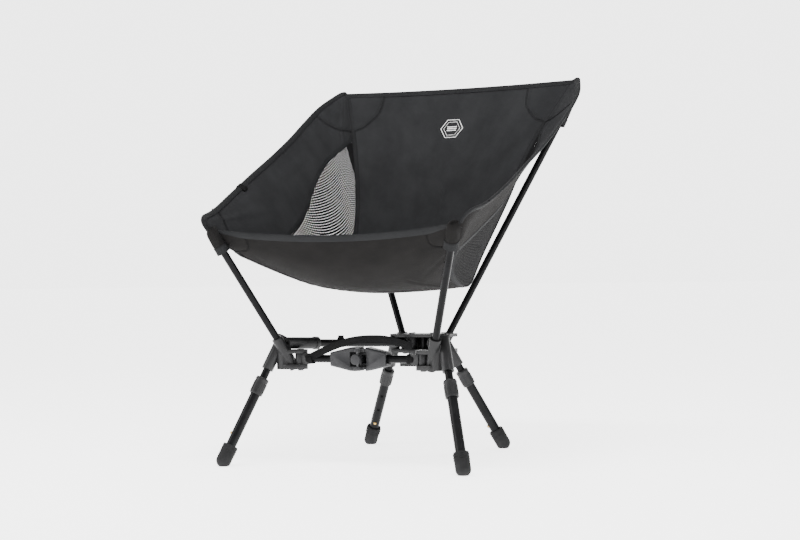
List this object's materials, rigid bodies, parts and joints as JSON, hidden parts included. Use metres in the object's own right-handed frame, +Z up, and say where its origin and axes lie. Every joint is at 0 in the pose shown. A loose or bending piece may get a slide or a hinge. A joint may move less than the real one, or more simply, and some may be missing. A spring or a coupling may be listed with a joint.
{
  "type": "folding camp chair",
  "caption": "Low folding camp chair with a sling seat on four poles, a folding base and four telescopic legs.",
  "frame": {"origin": "on the ground, under the middle of the open chair's width and depth", "axes": "+X to the chair's own left-hand rim as seen from behind, -Y towards the chair's front edge, +Z up"},
  "size_m": [0.5678, 0.6023, 0.71],
  "materials": {
    "black_tube": "glossy black anodised",
    "plastic": "moulded, fine texture",
    "joint_plastic": "moulded, satin",
    "seat_fabric": "woven polyester",
    "mesh": "open net",
    "trim": "binding and webbing",
    "foot_rubber": "moulded rubber",
    "snap_button": "satin",
    "steel_black": "black oxide"
  },
  "bodies": {
    "rear_frame": {"rear_bracket": "plastic", "rear_cover": "plastic", "arm_hinge_pins": "steel_black", "cover_screws": "steel_black", "pull_strap": "trim", "seat_base": "seat_fabric", "seat_back": "seat_fabric", "seat_side_left": "mesh", "seat_side_right": "mesh", "rear_pole_left": "black_tube", "rear_pole_tip_left": "plastic", "rear_pocket_left": "seat_fabric", "leg_inner_rear_left": "black_tube", "rear_pole_right": "black_tube", "rear_pole_tip_right": "plastic", "rear_pocket_right": "seat_fabric", "leg_inner_rear_right": "black_tube"},
    "arm_left": {"arm_tube_left": "black_tube", "arm_eye_left": "plastic", "hub_left": "plastic", "hub_bolt_left": "steel_black", "hub_cap_left": "plastic", "front_pole_left": "black_tube", "front_pole_tip_left": "plastic", "front_pocket_left": "seat_fabric", "leg_inner_front_left": "black_tube"},
    "bar_left": {"bar_tube_left": "black_tube", "bar_eye_left": "plastic"},
    "joint_half_left": {"housing_left": "joint_plastic"},
    "arm_right": {"arm_tube_right": "black_tube", "arm_eye_right": "plastic", "hub_right": "plastic", "hub_bolt_right": "steel_black", "hub_cap_right": "plastic", "front_pole_right": "black_tube", "front_pole_tip_right": "plastic", "front_pocket_right": "seat_fabric", "leg_inner_front_right": "black_tube"},
    "bar_right": {"bar_tube_right": "black_tube", "bar_eye_right": "plastic"},
    "joint_half_right": {"housing_right": "joint_plastic"},
    "joint_pin": {"centre_pin": "steel_black"},
    "lock": {"lock_button": "joint_plastic"},
    "leg_front_left": {"leg_outer_front_left": "black_tube", "leg_collar_front_left": "plastic", "foot_front_left": "foot_rubber"},
    "button_front_left": {"leg_button_front_left": "snap_button"},
    "leg_front_right": {"leg_outer_front_right": "black_tube", "leg_collar_front_right": "plastic", "foot_front_right": "foot_rubber"},
    "button_front_right": {"leg_button_front_right": "snap_button"},
    "leg_rear_left": {"leg_outer_rear_left": "black_tube", "leg_collar_rear_left": "plastic", "foot_rear_left": "foot_rubber"},
    "button_rear_left": {"leg_button_rear_left": "snap_button"},
    "leg_rear_right": {"leg_outer_rear_right": "black_tube", "leg_collar_rear_right": "plastic", "foot_rear_right": "foot_rubber"},
    "button_rear_right": {"leg_button_rear_right": "snap_button"}
  },
  "joints": [
    {"name": "frame_fold", "type": "hinge", "parent": "rear_frame", "child": "arm_left", "pos_m": [-0.022, 0.10195, 0.203], "axis": [0, 0, 1], "range_deg": [0, 14], "deforming": ["seat_base", "seat_back", "seat_side_left", "seat_side_right", "pull_strap"]},
    {"name": "arm_right_fold", "type": "hinge", "parent": "rear_frame", "child": "arm_right", "pos_m": [0.022, 0.10195, 0.203], "axis": [0, 0, 1], "range_deg": [-14.02, 0]},
    {"name": "bar_left_fold", "type": "hinge", "parent": "arm_left", "child": "bar_left", "pos_m": [-0.12, -0.16905, 0.187], "axis": [0, 0, 1], "range_deg": [0, 58.52]},
    {"name": "bar_right_fold", "type": "hinge", "parent": "arm_right", "child": "bar_right", "pos_m": [0.12, -0.16905, 0.187], "axis": [0, 0, 1], "range_deg": [-58.52, 0]},
    {"name": "joint_pin_travel", "type": "slide", "parent": "rear_frame", "child": "joint_pin", "axis": [0, 1, 0], "range_m": [0, 0.1045]},
    {"name": "joint_half_left_fold", "type": "hinge", "parent": "joint_pin", "child": "joint_half_left", "pos_m": [0, -0.18305, 0.187], "axis": [0, 0, 1], "range_deg": [0, 72.52]},
    {"name": "joint_half_right_fold", "type": "hinge", "parent": "joint_pin", "child": "joint_half_right", "pos_m": [0, -0.18305, 0.187], "axis": [0, 0, 1], "range_deg": [-72.52, 0]},
    {"name": "lock_press", "type": "slide", "parent": "joint_half_right", "child": "lock", "axis": [0, 1, 0], "range_m": [0, 0.0025], "stiffness_N_per_m": 600, "springref_m": -0.002},
    {"name": "leg_front_left_extend", "type": "slide", "parent": "arm_left", "child": "leg_front_left", "axis": [-0.2936, -0.3809, -0.8768], "range_m": [0, 0.063]},
    {"name": "button_front_left_press", "type": "slide", "parent": "leg_front_left", "child": "button_front_left", "axis": [0.8906, 0.2242, -0.3956], "range_m": [0, 0.0025], "stiffness_N_per_m": 500, "springref_m": -0.002},
    {"name": "leg_front_right_extend", "type": "slide", "parent": "arm_right", "child": "leg_front_right", "axis": [0.2936, -0.3809, -0.8768], "range_m": [0, 0.063]},
    {"name": "button_front_right_press", "type": "slide", "parent": "leg_front_right", "child": "button_front_right", "axis": [-0.3079, -0.906, 0.2905], "range_m": [0, 0.0025], "stiffness_N_per_m": 500, "springref_m": -0.002},
    {"name": "leg_rear_left_extend", "type": "slide", "parent": "rear_frame", "child": "leg_rear_left", "axis": [-0.3923, 0.3077, -0.8668], "range_m": [0, 0.063]},
    {"name": "button_rear_left_press", "type": "slide", "parent": "leg_rear_left", "child": "button_rear_left", "axis": [-0.2647, 0.8647, 0.4268], "range_m": [0, 0.0025], "stiffness_N_per_m": 500, "springref_m": -0.002},
    {"name": "leg_rear_right_extend", "type": "slide", "parent": "rear_frame", "child": "leg_rear_right", "axis": [0.3923, 0.3077, -0.8668], "range_m": [0, 0.063]},
    {"name": "button_rear_right_press", "type": "slide", "parent": "leg_rear_right", "child": "button_rear_right", "axis": [0.6973, 0.5152, 0.4984], "range_m": [0, 0.0025], "stiffness_N_per_m": 500, "springref_m": -0.002}
  ],
  "couplings": [
    {"joint": "arm_right_fold", "follows": "frame_fold", "ratio": -1},
    {"joint": "bar_left_fold", "follows": "frame_fold", "ratio": 4.1786},
    {"joint": "bar_right_fold", "follows": "frame_fold", "ratio": -4.1786},
    {"joint": "joint_pin_travel", "follows": "frame_fold", "m_per_rad": 0.42726},
    {"joint": "joint_half_left_fold", "follows": "frame_fold", "ratio": 5.1786},
    {"joint": "joint_half_right_fold", "follows": "frame_fold", "ratio": -5.1786}
  ]
}
